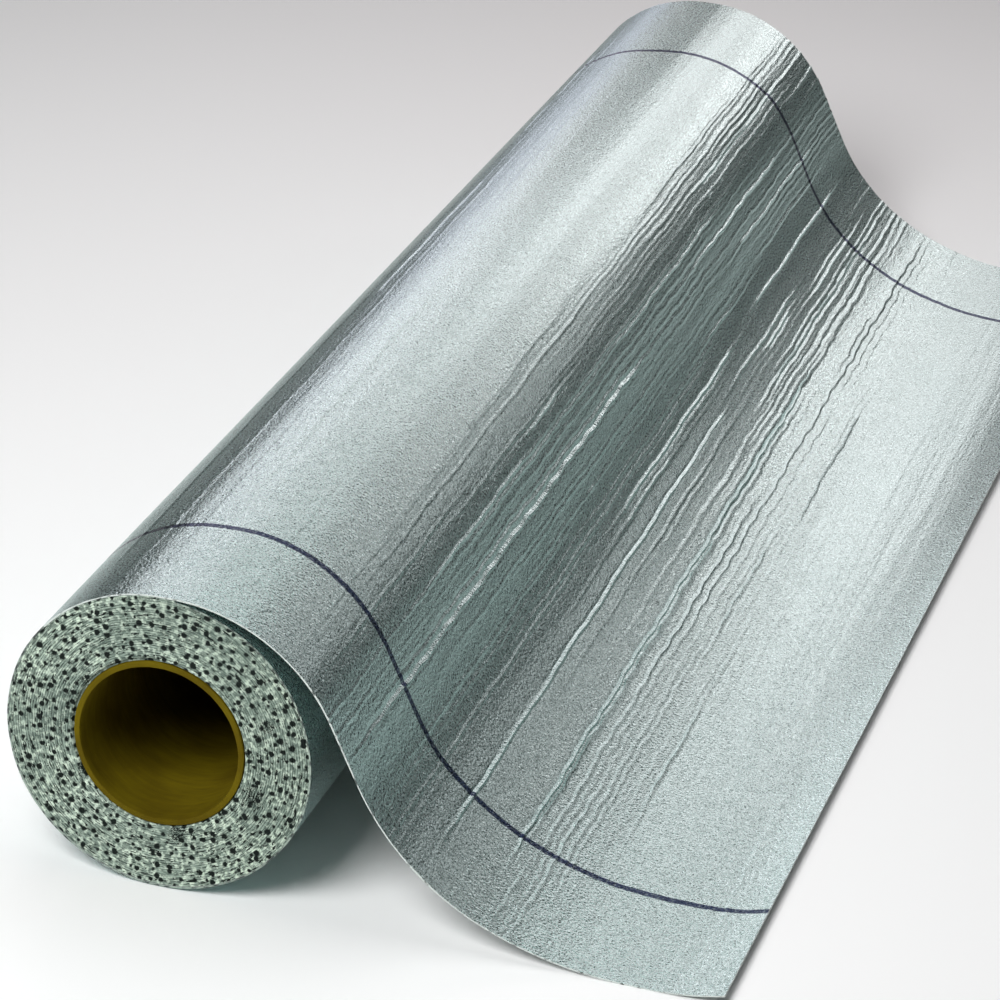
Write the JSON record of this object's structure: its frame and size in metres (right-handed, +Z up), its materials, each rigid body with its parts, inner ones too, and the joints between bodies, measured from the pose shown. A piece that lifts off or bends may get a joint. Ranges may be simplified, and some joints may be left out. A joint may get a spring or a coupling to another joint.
{
  "type": "roll of roof flashing",
  "caption": "Roll of aluminium-faced flashing membrane on a cardboard core, lying on its side with its free end pulled off to the floor.",
  "frame": {"origin": "on the core bore's axis, halfway along it; the floor it lies on is 73.3 mm lower", "axes": "+Y along the core from the near end to the far end, +Z up, +X the way the pulled-off end leads"},
  "size_m": [0.3422, 0.9144, 0.1478],
  "materials": {
    "foil_faced_membrane": "embossed satin foil",
    "cardboard": "matte"
  },
  "bodies": {
    "root": {"flashing_sheet": "foil_faced_membrane", "cardboard_core": "cardboard"}
  },
  "joints": []
}
